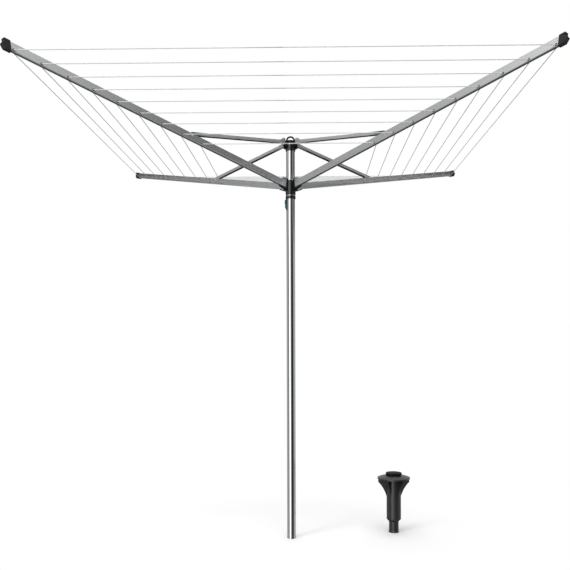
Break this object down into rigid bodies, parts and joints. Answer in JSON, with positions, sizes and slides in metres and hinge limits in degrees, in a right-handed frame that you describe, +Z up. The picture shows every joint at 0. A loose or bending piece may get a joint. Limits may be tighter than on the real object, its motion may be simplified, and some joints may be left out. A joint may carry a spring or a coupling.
{
  "type": "rotary clothesline",
  "caption": "Rotary clothes dryer: tall steel mast, turning head with folding aluminium arms and braces, rounds of line, sliding runner with a catch, and a lidded ground socket.",
  "frame": {"origin": "centre of the mast's foot, on the tube's axis at its lower end", "axes": "+Z up along the mast; -Y towards the viewer of the picture, +X to the viewer's right; the arms stand on the diagonals"},
  "size_m": [2.1102, 2.1102, 2.1384],
  "materials": {
    "polished_steel": "bright drawn tube",
    "arm_aluminium": "satin anodised",
    "cast_alloy": "tumbled casting",
    "black_plastic": "fine moulded grain",
    "socket_plastic": "satin moulded",
    "bearing_plastic": "smooth acetal",
    "teal_plastic": "semi-gloss",
    "line_plastic": "smooth sheath",
    "zinc_steel": "zinc plated",
    "spring_steel": "drawn wire"
  },
  "bodies": {
    "mast": {"mast_tube": "polished_steel", "foot_plug": "black_plastic", "top_bearing": "bearing_plastic", "thrust_washer": "bearing_plastic", "retaining_screw": "zinc_steel", "catch_pin": "zinc_steel", "catch_spring": "spring_steel", "ground_socket": "socket_plastic", "lid_pin": "zinc_steel"},
    "catch": {"release_catch": "teal_plastic"},
    "head": {"top_hub": "black_plastic", "clamp_plate": "cast_alloy", "cap_screws": "zinc_steel", "hanger_cap": "black_plastic", "brace_pins": "zinc_steel", "lines_1": "line_plastic", "lines_2": "line_plastic", "lines_3": "line_plastic", "lines_4": "line_plastic"},
    "brace_1": {"brace_1": "arm_aluminium", "brace_root_1": "cast_alloy"},
    "brace_2": {"brace_2": "arm_aluminium", "brace_root_2": "cast_alloy"},
    "brace_3": {"brace_3": "arm_aluminium", "brace_root_3": "cast_alloy"},
    "brace_4": {"brace_4": "arm_aluminium", "brace_root_4": "cast_alloy"},
    "arm_1": {"arm_1": "arm_aluminium", "arm_root_1": "cast_alloy", "rivet_1": "zinc_steel", "end_cap_1": "black_plastic"},
    "arm_2": {"arm_2": "arm_aluminium", "arm_root_2": "cast_alloy", "rivet_2": "zinc_steel", "end_cap_2": "black_plastic"},
    "arm_3": {"arm_3": "arm_aluminium", "arm_root_3": "cast_alloy", "rivet_3": "zinc_steel", "end_cap_3": "black_plastic"},
    "arm_4": {"arm_4": "arm_aluminium", "arm_root_4": "cast_alloy", "rivet_4": "zinc_steel", "end_cap_4": "black_plastic"},
    "runner": {"runner_hub": "black_plastic", "glide_bush": "polished_steel", "runner_collar": "black_plastic", "arm_pins": "zinc_steel"},
    "lid": {"socket_lid": "socket_plastic"}
  },
  "joints": [
    {"name": "head_spin", "type": "hinge", "parent": "mast", "child": "head", "pos_m": [0, 0, 2.04448], "axis": [0, 0, 1], "continuous": true},
    {"name": "fold", "type": "hinge", "parent": "head", "child": "brace_1", "pos_m": [-0.03465, -0.03465, 2.04448], "axis": [0.7071, -0.7071, 0], "range_deg": [0, 76], "deforming": ["lines_1", "lines_2", "lines_3", "lines_4", "release_catch"]},
    {"name": "brace_fold_2", "type": "hinge", "parent": "head", "child": "brace_2", "pos_m": [0.03465, -0.03465, 2.04448], "axis": [0.7071, 0.7071, 0], "range_deg": [0, 76]},
    {"name": "brace_fold_3", "type": "hinge", "parent": "head", "child": "brace_3", "pos_m": [0.03465, 0.03465, 2.04448], "axis": [-0.7071, 0.7071, 0], "range_deg": [0, 76]},
    {"name": "brace_fold_4", "type": "hinge", "parent": "head", "child": "brace_4", "pos_m": [-0.03465, 0.03465, 2.04448], "axis": [-0.7071, -0.7071, 0], "range_deg": [0, 76]},
    {"name": "arm_fold_1", "type": "hinge", "parent": "brace_1", "child": "arm_1", "pos_m": [-0.43768, -0.43768, 1.94439], "axis": [0.7071, -0.7071, 0], "range_deg": [-152, 0]},
    {"name": "arm_fold_2", "type": "hinge", "parent": "brace_2", "child": "arm_2", "pos_m": [0.43768, -0.43768, 1.94439], "axis": [0.7071, 0.7071, 0], "range_deg": [-152, 0]},
    {"name": "arm_fold_3", "type": "hinge", "parent": "brace_3", "child": "arm_3", "pos_m": [0.43768, 0.43768, 1.94439], "axis": [-0.7071, 0.7071, 0], "range_deg": [-152, 0]},
    {"name": "arm_fold_4", "type": "hinge", "parent": "brace_4", "child": "arm_4", "pos_m": [-0.43768, 0.43768, 1.94439], "axis": [-0.7071, -0.7071, 0], "range_deg": [-152, 0]},
    {"name": "runner_pivot", "type": "hinge", "parent": "arm_1", "child": "runner", "pos_m": [-0.03465, -0.03465, 1.8443], "axis": [0.7071, -0.7071, 0], "range_deg": [0, 76]},
    {"name": "catch_press", "type": "hinge", "parent": "mast", "child": "catch", "pos_m": [0, 0, 1.6985], "axis": [-0.4226, 0.9063, 0], "range_deg": [0, 12], "stiffness_Nm_per_rad": 0.5, "springref_deg": -11.46, "deforming": ["catch_spring"]},
    {"name": "lid_hinge", "type": "hinge", "parent": "mast", "child": "lid", "pos_m": [0.54, 0.167, 0.307], "axis": [-1, 0, 0], "range_deg": [0, 110]}
  ],
  "couplings": [
    {"joint": "brace_fold_2", "follows": "fold", "ratio": 1},
    {"joint": "brace_fold_3", "follows": "fold", "ratio": 1},
    {"joint": "brace_fold_4", "follows": "fold", "ratio": 1},
    {"joint": "arm_fold_1", "follows": "fold", "ratio": -2},
    {"joint": "arm_fold_2", "follows": "fold", "ratio": -2},
    {"joint": "arm_fold_3", "follows": "fold", "ratio": -2},
    {"joint": "arm_fold_4", "follows": "fold", "ratio": -2},
    {"joint": "runner_pivot", "follows": "fold", "ratio": 1}
  ]
}
